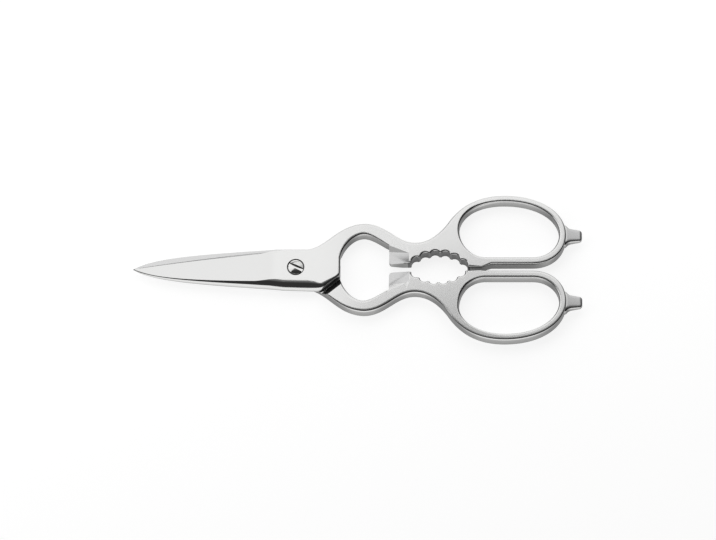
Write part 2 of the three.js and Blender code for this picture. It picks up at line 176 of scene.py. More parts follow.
def arc(centre, radius, start, end, steps=12):
    """Points along an arc between two angles in radians, without its last point."""
    turn = np.linspace(start, end, steps, endpoint=False)
    return np.array(centre) + radius * np.stack([np.cos(turn), np.sin(turn)], 1)


def edge_run(points, widths, depths=None, crowns=(0.0, 0.0)):
    """Rows of x, y, round width, round depth and crown width, which change evenly along the run."""
    share = np.linspace(0, 1, len(points))
    columns = [points]
    for values in (widths, depths or widths, crowns):
        columns.append(np.interp(share, np.linspace(0, 1, len(values)), values))
    return np.column_stack(columns)


jaw_centre = np.array([jaw_x, jaw_reach - jaw_radius])


def jaw_angle(level, side):
    """Angle on the jaw's arc where it crosses a level, right (1) or left (-1) of its middle."""
    rise = math.asin((level - jaw_centre[1]) / jaw_radius)
    return rise if side > 0 else math.pi - rise


def jaw_outline(start, end):
    """Scallops side by side along the jaw, from its tail end to the cap lifter."""
    pitch = (end - start) / jaw_teeth
    half_width = (pitch - tooth_land / jaw_radius) / 2
    deep = jaw_radius + tooth_depth
    offset = (deep ** 2 - jaw_radius ** 2) / (2 * (deep - jaw_radius * math.cos(half_width)))
    rows = [jaw_centre + jaw_radius * np.array([[math.cos(start), math.sin(start)]])]
    for tooth in range(jaw_teeth):
        middle = start + pitch * (tooth + 0.5)
        centre = jaw_centre + offset * np.array([math.cos(middle), math.sin(middle)])
        spread = math.atan2(jaw_radius * math.sin(half_width), jaw_radius * math.cos(half_width) - offset)
        scallop = arc(centre, deep - offset, middle - spread, middle + spread, 16)
        last = jaw_centre + jaw_radius * np.array(
            [[math.cos(middle + half_width), math.sin(middle + half_width)]])
        rows += [scallop, last]
    return np.vstack(rows)


def corner_arc(corner, before, after, radius):
    """Arc of the given radius that rounds a corner between two directions of travel."""
    before, after = (np.array(d) / np.linalg.norm(d) for d in (before, after))
    turn = math.atan2(before[0] * after[1] - before[1] * after[0], before @ after)
    inward = np.array([-before[1], before[0]]) * math.copysign(1, turn)
    start = np.array(corner) - before * radius * math.tan(abs(turn) / 2)
    centre = start + inward * radius
    first = math.atan2(*(start - centre)[::-1])
    return arc(centre, radius, first, first + turn, 14)


def spine_at(x):
    """Reach of the ricasso's spine, which falls away slightly toward the blade."""
    corner_x = (corner_distance - ricasso_spine * math.sin(math.radians(shoulder_heading)))
    corner_x /= math.cos(math.radians(shoulder_heading))
    return ricasso_spine - spine_slope * (corner_x - x)


def ricasso_corner_rows():
    """From the bottle grip's flat side round the cut-off corner to the spine."""
    spine_depth = half_thickness - mating_face
    heading = np.array([math.cos(math.radians(corner_heading)), math.sin(math.radians(corner_heading))])
    diagonal = np.array([heading[1], -heading[0]])
    upper = (ricasso_end, (corner_distance - ricasso_end * heading[0]) / heading[1])
    lower = ((corner_distance + ricasso_spine * heading[1]) / heading[0], -ricasso_spine)
    turn_round, turn_depth = ricasso_round * 0.5, spine_depth * 0.6
    upper_turn = corner_arc(upper, (0, -1), diagonal, ricasso_corner)
    lower_turn = corner_arc(lower, diagonal, (-1, spine_slope), spine_corner)
    turn_end = (lower[0] - spine_corner / 2, -spine_at(lower[0] - spine_corner / 2))
    spine_end = (lower[0] - spine_corner, -spine_at(lower[0] - spine_corner))
    return np.vstack([
        edge_run(upper_turn, (bow_round, bow_round)),
        edge_run(straight(upper_turn[-1], lower_turn[0])[1:],
                 (bow_round, turn_round), (bow_round, turn_depth)),
        edge_run(lower_turn, (turn_round, ricasso_round * 0.9), (turn_depth, spine_depth)),
        edge_run(straight(turn_end, spine_end),
                 (ricasso_round * 0.9, ricasso_round), (spine_depth, spine_depth)),
        [[*spine_end, ricasso_round, spine_depth, 0.0]],
        [[ricasso_joint, -spine_at(ricasso_joint), 0.0, spine_depth, 0.0]],
    ])


def handle_outline(stop_edge, upper_palm):
    """Outline of the ricasso and handle, clockwise, and of the finger hole, counter-clockwise."""
    root_x = ricasso_end * 0.2
    hole_bottom = loop_inner_edge + loop_inner_bar
    hole_top = hole_bottom + loop_height
    hole_middle = (hole_bottom + hole_top) / 2
    hole_end = loop_x + loop_length
    loop_top = hole_top + loop_outer_bar
    loop_end = hole_end + loop_end_bar
    crown_x = loop_x + loop_length * 0.455
    flat_start = loop_x + loop_length * 0.27
    flat_end = loop_x + loop_length * 0.735
    bow_inner = bow_reach - bow_band
    bow_rise = bow_reach - ricasso_edge
    bow_run = bow_x - root_x
    neck_run = neck_x - bow_x
    loop_root = np.array([loop_x - loop_root_wall, hole_middle + loop_height * 0.11])
    jaw_start = jaw_angle(stop_edge, 1)
    jaw_end = jaw_angle(lifter_edge, -1)
    stop_start = jaw_centre[0] + jaw_radius * math.cos(jaw_start)
    ramp_start = stop_start + stop_length + stop_ramp
    side_round = (loop_round, palm_round) if upper_palm else (palm_round, loop_round)
    side_depth = (loop_round_depth, palm_round_depth) if upper_palm else (palm_round_depth, loop_round_depth)
    middle_round, middle_depth = sum(side_round) / 2, sum(side_depth) / 2
    loop_crowns = (loop_crown, loop_crown)

    outline = np.vstack([
        edge_run(straight((ricasso_joint, ricasso_edge), (root_x, ricasso_edge)), (flat_round, flat_round)),
        edge_run(bezier((root_x, ricasso_edge), (root_x + bow_run * 0.38, ricasso_edge + bow_rise * 0.05),
                        (root_x + bow_run * 0.53, bow_reach - bow_rise * 0.05), (bow_x, bow_reach)),
                 (flat_round, bow_round), None, (0.0, bow_crown)),
        edge_run(bezier((bow_x, bow_reach), (bow_x + neck_run * 0.43, bow_reach),
                        (neck_x - neck_run * 0.37, neck_reach), (neck_x, neck_reach)),
                 (bow_round, bow_round), None, (bow_crown, bow_crown)),
        edge_run(bezier((neck_x, neck_reach), (neck_x + (loop_root[0] - neck_x) * 0.5, neck_reach),
                        (loop_root[0] - (loop_root[0] - neck_x) * 0.16,
                         loop_root[1] - (loop_root[1] - neck_reach) * 0.35), loop_root),
                 (bow_round, loop_round), (bow_round, loop_round_depth), (bow_crown, bow_crown, loop_crown)),
        edge_run(bezier(loop_root, (loop_root[0] + (crown_x - loop_root[0]) * 0.24,
                                    loop_root[1] + (loop_top - loop_root[1]) * 0.7),
                        (crown_x - (crown_x - loop_root[0]) * 0.43, loop_top), (crown_x, loop_top)),
                 (loop_round, loop_round), (loop_round_depth, loop_round_depth), loop_crowns),
        edge_run(bezier((crown_x, loop_top), (crown_x + (loop_end - crown_x) * 0.58, loop_top),
                        (loop_end, tail_y + (loop_top - tail_y) * 0.58), (loop_end, tail_y)),
                 (loop_round, loop_end_round), (loop_round_depth, loop_round_depth), loop_crowns),
        edge_run(bezier((loop_end, tail_y), (loop_end, tail_y - (tail_y - loop_inner_edge) * 0.6),
                        (loop_end - (loop_end - flat_end) * 0.42, loop_inner_edge),
                        (flat_end, loop_inner_edge)),
                 (loop_end_round, loop_end_round), (loop_round_depth, loop_round_depth), loop_crowns),
        edge_run(straight((flat_end, loop_inner_edge), (ramp_start, loop_inner_edge), 1),
                 (loop_end_round, bow_round), (loop_round_depth, bow_round), loop_crowns),
        edge_run(straight((ramp_start, loop_inner_edge), (stop_start + stop_length, stop_edge)),
                 (bow_round, flat_round)),
        edge_run(straight((stop_start + stop_length, stop_edge), (stop_start, stop_edge)),
                 (flat_round, jaw_round)),
        edge_run(jaw_outline(jaw_start, jaw_end), (jaw_round, jaw_round)),
        edge_run(straight(jaw_centre + jaw_radius * np.array([math.cos(jaw_end), math.sin(jaw_end)]),
                          (lifter_x + lifter_corner, lifter_edge)), (jaw_round, jaw_round)),
        edge_run(arc((lifter_x + lifter_corner, lifter_edge + lifter_corner), lifter_corner,
                     -math.pi / 2, -math.pi), (jaw_round, jaw_round)),
        edge_run(straight((lifter_x, lifter_edge + lifter_corner), (lifter_x, lifter_root)),
                 (jaw_round, flat_round)),
        edge_run(bezier((lifter_x, lifter_root),
                        (lifter_x - (lifter_x - bow_x) * 0.27,
                         lifter_root + (bow_inner - lifter_root) * 0.32),
                        (bow_x + (lifter_x - bow_x) * 0.31, bow_inner), (bow_x, bow_inner)),
                 (flat_round, bow_round), None, (0.0, bow_crown)),
        edge_run(bezier((bow_x, bow_inner), (bow_x - (bow_x - ricasso_end) * 0.45, bow_inner),
                        (ricasso_end + (bow_x - ricasso_end) * 0.09, bow_inner * 0.65),
                        (ricasso_end, bow_inner * 0.31)),
                 (bow_round, bow_round), None, (bow_crown, bow_crown, 0.0)),
        [[ricasso_end, bow_inner * 0.31, bow_round, bow_round, 0.0]],
        ricasso_corner_rows(),
    ])
    hole = np.vstack([
        edge_run(bezier((loop_x, hole_middle), (loop_x, hole_middle - (hole_middle - hole_bottom) * 0.56),
                        (flat_start - (flat_start - loop_x) * 0.55, hole_bottom), (flat_start, hole_bottom)),
                 (middle_round, side_round[0], loop_end_round),
                 (middle_depth, side_depth[0], loop_round_depth), (0.0, 0.0, loop_crown)),
        edge_run(straight((flat_start, hole_bottom), (flat_end, hole_bottom), 1),
                 (loop_end_round, loop_end_round), (loop_round_depth, loop_round_depth), loop_crowns),
        edge_run(bezier((flat_end, hole_bottom), (hole_end - (hole_end - flat_end) * 0.42, hole_bottom),
                        (hole_end, tail_y - (tail_y - hole_bottom) * 0.55), (hole_end, tail_y)),
                 (loop_end_round, loop_end_round), (loop_round_depth, loop_round_depth), loop_crowns),
        edge_run(bezier((hole_end, tail_y), (hole_end, tail_y + (hole_top - tail_y) * 0.58),
                        (crown_x + (hole_end - crown_x) * 0.58, hole_top), (crown_x, hole_top)),
                 (loop_end_round, loop_round), (loop_round_depth, loop_round_depth), loop_crowns),
        edge_run(bezier((crown_x, hole_top), (crown_x - (crown_x - loop_x) * 0.55, hole_top),
                        (loop_x, hole_middle + loop_height * 0.29), (loop_x, hole_middle)),
                 (loop_round, side_round[1], middle_round), (loop_round_depth, side_depth[1], middle_depth),
                 (loop_crown, 0.0, 0.0)),
    ])
    return outline, hole


def inset_rings(rows):
    """Rings from the mid wall to the upper face: each edge moves in by its own rounding.
    The metal lies on the right of the outline's direction."""
    points, (width, depth, crown) = rows[:, :2], rows[:, 2:].T
    lean = math.radians(crown_angle) * np.minimum(1, crown / loop_crown)
    drop = crown * np.tan(lean) / 2
    ahead = np.roll(points, -1, 0) - points
    ahead /= np.linalg.norm(ahead, axis=1)[:, None]
    inward = np.stack([ahead[:, 1], -ahead[:, 0]], 1)
    before = np.roll(inward, 1, 0)
    corner = before[:, 0] * inward[:, 1] - before[:, 1] * inward[:, 0]
    mean = before + inward
    mean /= np.linalg.norm(mean, axis=1)[:, None]
    sharp = np.abs(corner) > 0.24
    safe = np.where(sharp, corner, 1)
    profile = []
    for step in range(round_steps + 1):
        turn = (math.pi / 2 - lean) * step / round_steps
        profile.append((width * (1 - np.cos(turn)),
                        half_thickness - drop - depth * (np.cos(lean) - np.sin(turn))))
    for step in range(1, crown_steps + 1):
        share = step / crown_steps
        profile.append((width * (1 - np.sin(lean)) + crown * share, half_thickness - drop * (1 - share) ** 2))
    profile.append((profile[-1][0] + np.where(width > 0, flat_margin, 0), profile[-1][1]))
    rings = []
    for move, height in profile:
        move_before = np.roll(move, 1)
        soft = mean * ((move + move_before) / 2)[:, None]
        mitre = np.stack([(move_before * inward[:, 1] - move * before[:, 1]) / safe,
                          (move * before[:, 0] - move_before * inward[:, 0]) / safe], 1)
        place = points + np.where(sharp[:, None], mitre, soft)
        rings.append(np.hstack([place, height[:, None]]))
    return rings


def skin(shape, rings):
    """Faces between neighbouring rings of points."""
    for lower, upper in zip(rings, rings[1:]):
        for i in range(len(lower)):
            j = (i + 1) % len(lower)
            shape.faces.new((lower[i], lower[j], upper[j], upper[i]))


def closed_mesh(name, shape):
    bmesh.ops.recalc_face_normals(shape, faces=shape.faces)
    mesh = bpy.data.meshes.new(name)
    shape.to_mesh(mesh)
    shape.free()
    return mesh


def plate_mesh(name, outlines):
    """Closed plate with rounded edges on both faces."""
    shape = bmesh.new()
    rims = {1: [], -1: []}
    for rows in outlines:
        walls = {}
        for side in (1, -1):
            rings = [[shape.verts.new((x, y, side * z)) for x, y, z in ring] for ring in inset_rings(rows)]
            walls[side] = rings[0]
            skin(shape, rings)
            last = rings[-1]
            rims[side] += [shape.edges.get((a, b)) for a, b in zip(last, last[1:] + last[:1])]
        skin(shape, [walls[-1], walls[1]])
    for side in (1, -1):
        bmesh.ops.triangle_fill(shape, use_beauty=True, edges=rims[side], normal=(0, 0, side))
    return closed_mesh(name, shape)


def loft_mesh(name, rings):
    """Closed skin over rings of equal point counts, with a face on each end."""
    shape = bmesh.new()
    rows = [[shape.verts.new(point) for point in ring] for ring in rings]
    skin(shape, rows)
    shape.faces.new(rows[0])
    shape.faces.new(rows[-1])
    return closed_mesh(name, shape)


def smooth_step(share):
    share = min(1, max(0, share))
    return share * share * (3 - 2 * share)


def mix(first, last, share):
    return first + (last - first) * share


def blade_ring(x, spine_y):
    """Section across the blade: inner face, ground edge, outer face and rolled spine."""
    share = min(1, (x + blade_length) / (heel_x + blade_length))
    runout = smooth_step((x - heel_x) / (ricasso_joint - heel_x))
    inset = skin_inset if x > ricasso_joint - 1e-6 else 0
    floor = mating_face + skin_inset
    rise = half_thickness - floor - heel_edge_thickness
    grind_slope = rise / (heel_edge + heel_spine - spine_round_at_heel - heel_bevel)
    blade_edge = mix(tip_width / 2, heel_edge, share) + 4 * edge_belly * share * (1 - share)
    bevel_fade = smooth_step((x - bevel_fade_start) / (bevel_fade_end - bevel_fade_start))
    bevel = min(mix(tip_bevel, heel_bevel, share), blade_edge) * (1 - 0.95 * bevel_fade)
    blade_roll = min(mix(spine_round_at_tip, spine_round_at_heel, share ** 1.5), spine_y)
    edge_height = mix(tip_edge_thickness, heel_edge_thickness, share)
    blade_top = floor + edge_height + grind_slope * (blade_edge + spine_y - blade_roll - bevel)
    edge = mix(blade_edge, ricasso_edge, runout) - inset
    top = mix(blade_top, half_thickness, runout) - inset
    joint_share = min(1, max(0, (x - heel_x) / (ricasso_joint - heel_x)))
    spine = mix(spine_y, spine_at(max(x, ricasso_joint)), joint_share) - inset
    roll_share = smooth_step((x - roll_start) / (ricasso_joint - roll_start))
    roll = mix(blade_roll, ricasso_round, roll_share)
    ring = [(x, -spine, floor), (x, edge, floor)]
    for step in range(round_steps + 1):
        part = step / round_steps
        turn = part * math.pi / 2
        ground_y = blade_edge - bevel * part
        ground_z = floor + cutting_land + (edge_height - cutting_land) * part
        round_y = edge - flat_round * (1 - math.cos(turn))
        round_z = top - flat_round * (1 - math.sin(turn))
        ring.append((x, mix(ground_y, round_y, runout), mix(ground_z, round_z, runout)))
    face_y, face_z = ring[-1][1:]
    roll_y, roll_z = -spine + roll, top
    for part in (0.02, 0.25, 0.5, 0.75, 0.98):
        ring.append((x, mix(face_y, roll_y, part), mix(face_z, roll_z, part)))
    first_turn = math.radians(90 - spine_crease * (1 - roll_share))
    for step in range(2 * round_steps):
        turn = first_turn * (1 - step / (2 * round_steps))
        ring.append((x, -spine + roll * (1 - math.cos(turn)) / (1 - math.cos(first_turn)),
                     floor + (top - floor) * math.sin(turn) / math.sin(first_turn)))
    return ring


def blade_mesh(name):
    """Blade from its point to the ricasso, with a curved spine."""
    length = blade_length + heel_x
    spine = bezier((-blade_length, tip_width / 2), (-blade_length + length * 0.135, heel_spine * 0.57),
                   (-blade_length + length * 0.435, heel_spine * 0.755), (heel_x, heel_spine), 60)
    rings = [blade_ring(x, y) for x, y in spine]
    rings += [blade_ring(x, heel_spine) for x in np.linspace(heel_x, ricasso_joint, 9)]
    rings.append(blade_ring(ricasso_joint + 0.6, heel_spine))
    return loft_mesh(name, rings)


def tail_mesh(name):
    """Tapered lug like a broad screwdriver tip, flared where it leaves the loop."""
    loop_end = loop_x + loop_length + loop_end_bar
    taper = (tail_root_thickness - tail_end_thickness) / tail_reach
    rings = []
    for out, flare in ((-1.4, 1.35), (0.0, 1.22), (0.5, 1.05), (1.1, 0.93), (2.0, 0.84)):
        rings.append((loop_end + out, tail_root_width * flare, tail_root_thickness - taper * out))
    round_start = loop_end + tail_reach - tail_end_round
    round_thickness = tail_end_thickness + taper * tail_end_round
    rings.append((round_start, tail_end_width, round_thickness))
    for step in range(1, 9):
        turn = math.pi / 2 * step / 8
        shrink = 1 - math.cos(turn)
        rings.append((round_start + tail_end_round * math.sin(turn),
                      tail_end_width - tail_end_narrowing * shrink,
                      round_thickness - (tail_end_thinning + taper * tail_end_round) * shrink))
    turn = np.linspace(0, 2 * math.pi, 48, endpoint=False)
    squareness = 0.42
    across = np.sign(np.cos(turn)) * np.abs(np.cos(turn)) ** squareness
    up = np.sign(np.sin(turn)) * np.abs(np.sin(turn)) ** squareness
    return loft_mesh(name, [
        [(x, tail_y + width / 2 * a, thickness / 2 * u) for a, u in zip(across, up)]
        for x, width, thickness in rings])


def shoulder_cutter(name):
    """Room for the other half's ricasso: its far wall leans and rounds the shoulder's edge."""
    heading = math.radians(shoulder_heading)
    along = np.array([math.cos(heading), math.sin(heading)])
    across = np.array([-along[1], along[0]]) * blade_length
    lean = shoulder_lean / half_thickness
    edge_level = -half_thickness + shoulder_round
    edge_reach = shoulder_distance - lean * shoulder_round
    root_reach = shoulder_distance - lean * (mating_face + half_thickness)
    levels = [(mating_face, root_reach), (edge_level, edge_reach)]
    for step in range(1, 9):
        turn = math.pi / 2 * step / 8
        levels.append((edge_level - shoulder_round * math.sin(turn),
                       edge_reach + shoulder_round * (1 - math.cos(turn))))
    levels.append((-half_thickness - 1, edge_reach + shoulder_round))
    rings = []
    for z, reach in levels:
        corners = ((-blade_length, -1), (reach, -1), (reach, 1), (-blade_length, 1))
        rings.append([(*(along * d + across * s), z) for d, s in corners])
    return loft_mesh(name, rings)


def round_cutter(name, radius, low, high):
    turn = np.linspace(0, 2 * math.pi, 128, endpoint=False)
    circle = [(radius * math.cos(t), radius * math.sin(t)) for t in turn]
    return loft_mesh(name, [[(x, y, z) for x, y in circle] for z in (low, high)])


def flush_cutter(name):
    """What is ground off the rear half's spine, so that it doesn't stand out past the front half's edge."""
    deep = half_thickness + 1
    corners = ((-blade_length, -blade_length), (ricasso_end, -blade_length),
               (ricasso_end, -flush_spine), (-blade_length, -flush_spine))
    return loft_mesh(name, [[(x, y, z) for x, y in corners] for z in (-deep, deep)])


def recess_mesh(name, side, wall_angle):
    """Wedge that thins the cap lifter from one face: a ramped floor and a wall that leans along the arm."""
    start, end = lifter_x - 1, lifter_x + lifter_ramp + 1
    slope = (half_thickness - lifter_thickness / 2) / lifter_ramp
    low, high = lifter_thickness / 2 - slope, half_thickness + slope
    above = half_thickness + 1
    below = lifter_edge - lifter_thickness
    wall, wall_end = lifter_edge + lifter_floor, lifter_edge + lifter_floor * 0.75
    wall_run = (above - low) / math.tan(math.radians(wall_angle))
    floor = [(start, below, low), (end, below, high), (end, wall_end, high), (start, wall, low)]
    roof = [(start, below, above), (end, below, above),
            (end, wall_end, above), (start, wall + wall_run, above)]
    return loft_mesh(name, [[(x, y, side * z) for x, y, z in ring] for ring in (floor, roof)])


def carve(name, blank, steps):
    """Piece made from a blank by joining (UNION) and cutting (DIFFERENCE) other meshes in turn."""
    piece = bpy.data.objects.new(name, blank)
    bpy.context.scene.collection.objects.link(piece)
    tools = []
    for operation, mesh in steps:
        tool = bpy.data.objects.new(mesh.name, mesh)
        bpy.context.scene.collection.objects.link(tool)
        cut = piece.modifiers.new(mesh.name, "BOOLEAN")
        cut.operation, cut.object, cut.solver = operation, tool, "MANIFOLD"
        tools.append(tool)
    bpy.context.view_layer.update()
    finished = bpy.data.meshes.new_from_object(piece.evaluated_get(bpy.context.evaluated_depsgraph_get()))
    piece.modifiers.clear()
    piece.data = finished
    finished.name = name
    finished.materials.clear()
    for tool in tools:
        bpy.data.objects.remove(tool)
    return piece


def shade(piece, sharp_degrees):
    piece.data.polygons.foreach_set("use_smooth", [True] * len(piece.data.polygons))
    piece.data.set_sharp_from_angle(angle=math.radians(sharp_degrees))


def mark_finish_and_shade(half):
    """Which faces are polished (0), ground (1), painted dark as shade in a recess (2) or blasted (3)."""
    angle = math.radians(shoulder_heading)
    heading = Vector((math.cos(angle), math.sin(angle), 0))
    tail_start = loop_x + loop_length + loop_end_bar + 0.5
    for face in half.data.polygons:
        x, y, z = face.center
        normal, level = face.normal, abs(face.normal.z)
        in_bore = math.hypot(x, y) < counterbore_radius + 0.01 and z < half_thickness - 0.01
        near_shoulder = abs(face.center @ heading - shoulder_distance) < 4 and z < 0.2
        on_shoulder = near_shoulder and normal @ heading < -0.2
        from_jaw = math.hypot(x - jaw_centre[0], y - jaw_centre[1]) - jaw_radius
        on_jaw = x > lifter_x + lifter_corner and from_jaw < tooth_depth + 0.05 and level < 0.5
        on_blade = x < ricasso_joint
        on_ramp = lifter_x < x < lifter_x + lifter_ramp and normal.x < -0.1 and level > 0.9
        # Painted shade: the counterbore, the shoulder's pocket wall and the jaw's scallop walls get the dark
        # material (2).
        if in_bore or on_shoulder or on_jaw:
            face.material_index = 2
        elif on_blade and (normal.z < -0.9 or normal.y > 0.4):
            face.material_index = 1
        elif on_ramp or x > tail_start and level > 0.8:
            face.material_index = 3


def forged_half(name, stop_edge, is_front):
    """One half, cut and ground. The front one is counterbored for the screw's head,
    and the rear one's spine is ground flush."""
    deep = half_thickness + 1
    steps = [
        ("DIFFERENCE", shoulder_cutter("shoulder")),
        ("UNION", blade_mesh("blade")),
        ("UNION", tail_mesh("tail")),
        ("DIFFERENCE", recess_mesh("upper_recess", 1, lifter_wall)),
        ("DIFFERENCE", recess_mesh("lower_recess", -1, lifter_rear_wall)),
        ("DIFFERENCE", round_cutter("bore", bore_radius, -deep, deep)),
    ]
    if is_front:
        steps.append(("DIFFERENCE", round_cutter("counterbore", counterbore_radius,
                                                 half_thickness - counterbore_depth, deep)))
    else:
        steps.append(("DIFFERENCE", flush_cutter("flush_spine")))
    outline, hole = handle_outline(stop_edge, is_front)
    half = carve(name, plate_mesh("blank", (outline, hole)), steps)
    mark_finish_and_shade(half)
    return half


rear = forged_half("rear_forging", rear_stop_edge, False)
front = forged_half("front_forging", front_stop_edge, True)
rear.data.transform(Matrix.Rotation(math.pi, 4, "X"))
for half in (rear, front):
    half.data.transform(Matrix.Translation(pivot) @ Matrix.Scale(MM, 4))
    shade(half, 32)


def add_node(tree, kind, inputs=None, **settings):
    """New node with its settings, and with each named input set to a value or linked to a socket."""
    node = tree.nodes.new(kind)
    for name, value in settings.items():
        setattr(node, name, value)
    for name, value in (inputs or {}).items():
        if isinstance(value, bpy.types.NodeSocket):
            tree.links.new(value, node.inputs[name])
        else:
            node.inputs[name].default_value = value
    return node


# Shared finish: fine marks stretched along one axis, and broad faint patches left by handling.
finish = bpy.data.node_groups.new("ground_finish", "ShaderNodeTree")
finish.interface.new_socket("Vector", in_out="INPUT", socket_type="NodeSocketVector")
finish.interface.new_socket("Marks per metre", in_out="INPUT", socket_type="NodeSocketVector")
finish.interface.new_socket("Patches per metre", in_out="INPUT", socket_type="NodeSocketFloat")
finish.interface.new_socket("Marks", in_out="OUTPUT", socket_type="NodeSocketFloat")
finish.interface.new_socket("Patches", in_out="OUTPUT", socket_type="NodeSocketFloat")
given = finish.nodes.new("NodeGroupInput")
result = finish.nodes.new("NodeGroupOutput")
stretched = add_node(finish, "ShaderNodeVectorMath",
                     {0: given.outputs["Vector"], 1: given.outputs["Marks per metre"]}, operation="MULTIPLY")
marks = add_node(finish, "ShaderNodeTexNoise",
                 {"Vector": stretched.outputs["Vector"], "Scale": 1.0, "Detail": 3.0, "Roughness": 0.65})
patches = add_node(finish, "ShaderNodeTexNoise", {
    "Vector": given.outputs["Vector"], "Scale": given.outputs["Patches per metre"], "Detail": 2.0})
finish.links.new(marks.outputs["Fac"], result.inputs["Marks"])
finish.links.new(patches.outputs["Fac"], result.inputs["Patches"])


def forged_steel():
    """Stainless steel: mirror-polished blade, fine-ground flat and satin handle.
    Walls carry painted shade: they are darker than faces, and darkest where they face along the scissors."""
    material = bpy.data.materials.new("forged_steel")
    material.use_nodes = True
    tree = material.node_tree
    shader = tree.nodes["Principled BSDF"]
    place = add_node(tree, "ShaderNodeTexCoord")
    axes = add_node(tree, "ShaderNodeSeparateXYZ", {"Vector": place.outputs["Object"]})
    facing = add_node(tree, "ShaderNodeSeparateXYZ", {"Vector": place.outputs["Normal"]})
    blade_end, flat_end = pivot.x + heel_x * MM, pivot.x + ricasso_joint * MM
    ground = add_node(tree, "ShaderNodeMapRange", {
        "Value": axes.outputs["X"], "From Min": blade_end, "From Max": flat_end,
        "To Min": 0.07, "To Max": 0.13}, interpolation_type="SMOOTHSTEP")
    satin = add_node(tree, "ShaderNodeMapRange", {
        "Value": axes.outputs["X"], "From Min": pivot.x + bore_radius * 2 * MM,
        "From Max": pivot.x + bow_x * MM, "To Min": 0.0, "To Max": 1.0}, interpolation_type="SMOOTHSTEP")
    level = add_node(tree, "ShaderNodeMath", {0: facing.outputs["Z"]}, operation="ABSOLUTE")
    flat = add_node(tree, "ShaderNodeMapRange", {
        "Value": level.outputs[0], "From Min": 0.92, "From Max": 0.99, "To Min": 0.0, "To Max": 0.09})
    blasted = add_node(tree, "ShaderNodeMath",
                       {0: satin.outputs[0], 1: flat.outputs[0]}, operation="MULTIPLY")
    # Painted shade: steep walls take a darker base colour (0.5) than flat faces (0.79).
    side = add_node(tree, "ShaderNodeMapRange", {
        "Value": level.outputs[0], "From Min": 0.55, "From Max": 0.1, "To Min": 0.0, "To Max": 1.0})
    marks = add_node(tree, "ShaderNodeGroup", node_tree=finish)
    tree.links.new(place.outputs["Object"], marks.inputs["Vector"])
    marks.inputs["Marks per metre"].default_value = (9000, 500, 500)
    marks.inputs["Patches per metre"].default_value = 60
    base = add_node(tree, "ShaderNodeMath", {0: ground.outputs[0], 1: blasted.outputs[0]}, operation="ADD")
    worn = add_node(tree, "ShaderNodeMapRange", {
        "Value": marks.outputs["Patches"], "From Min": 0.3, "From Max": 0.7, "To Min": 0.9, "To Max": 1.12})
    rough = add_node(tree, "ShaderNodeMath", {0: base.outputs[0], 1: worn.outputs[0]}, operation="MULTIPLY")
    bump = add_node(tree, "ShaderNodeBump", {
        "Height": marks.outputs["Marks"], "Strength": 0.03, "Distance": 0.05 * MM})
    tone = add_node(tree, "ShaderNodeMix", {"Factor": side.outputs[0]}, data_type="RGBA")
    tone.inputs[6].default_value = (0.79, 0.79, 0.785, 1)
    tone.inputs[7].default_value = (0.5, 0.5, 0.495, 1)
    # Painted shade: faces that look along the scissors darken toward 0.2.
    endwise = add_node(tree, "ShaderNodeMath", {0: facing.outputs["X"]}, operation="ABSOLUTE")
    end_shade_mask = add_node(tree, "ShaderNodeMapRange", {
        "Value": endwise.outputs[0], "From Min": 0.3, "From Max": 0.7, "To Min": 0.0, "To Max": 1.0})
    painted_shade_colour = add_node(tree, "ShaderNodeMix", {"Factor": end_shade_mask.outputs[0]}, data_type="RGBA")
    tree.links.new(tone.outputs[2], painted_shade_colour.inputs[6])
    painted_shade_colour.inputs[7].default_value = (0.2, 0.2, 0.2, 1)
    tree.links.new(painted_shade_colour.outputs[2], shader.inputs["Base Color"])
    shader.inputs["Metallic"].default_value = 1
    tree.links.new(rough.outputs[0], shader.inputs["Roughness"])
    tree.links.new(bump.outputs["Normal"], shader.inputs["Normal"])
    return material


def ground_steel(name, tone, roughness, marks_per_metre):
    """Plain steel of one tone: as the wheel or the blast left it, or dark as painted shade in recesses."""
    material = bpy.data.materials.new(name)
    material.use_nodes = True
    tree = material.node_tree
    shader = tree.nodes["Principled BSDF"]
    place = add_node(tree, "ShaderNodeTexCoord")
    marks = add_node(tree, "ShaderNodeGroup", node_tree=finish)
    tree.links.new(place.outputs["Object"], marks.inputs["Vector"])
    marks.inputs["Marks per metre"].default_value = marks_per_metre
    marks.inputs["Patches per metre"].default_value = 200
    rough = add_node(tree, "ShaderNodeMapRange", {
        "Value": marks.outputs["Marks"], "From Min": 0.3, "From Max": 0.7,
        "To Min": roughness * 0.85, "To Max": roughness * 1.15})
    shader.inputs["Base Color"].default_value = (tone, tone, tone, 1)
    shader.inputs["Metallic"].default_value = 1
    tree.links.new(rough.outputs[0], shader.inputs["Roughness"])
    return material


# The third material, tone 0.2, is painted shade for recesses rather than a finish of its own.
steel_and_shade_materials = (forged_steel(), ground_steel("ground_edge", 0.68, 0.22, (9000, 600, 600)),
            ground_steel("painted_recess_shade", 0.2, 0.35, (900, 900, 9000)),
            ground_steel("blasted_ramp", 0.66, 0.3, (6000, 6000, 6000)))
for half, body in ((rear, "rear_half"), (front, "front_half")):
    for material in steel_and_shade_materials:
        half.data.materials.append(material)
    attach(half, body)
    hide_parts(body)

# Pivot screw.
# A turned and polished steel screw with a domed, slotted head, sunk into a counterbore of the front half.
# Its shank is held in the rear half and its end is dressed flush with that half's outer face.

head_radius = 3.4
head_depth = 1.6
head_dome = 0.85
head_rim = 0.22
shank_radius = 2.5
slot_width = 1.7
slot_depth = 1.5
slot_heading = -24.0


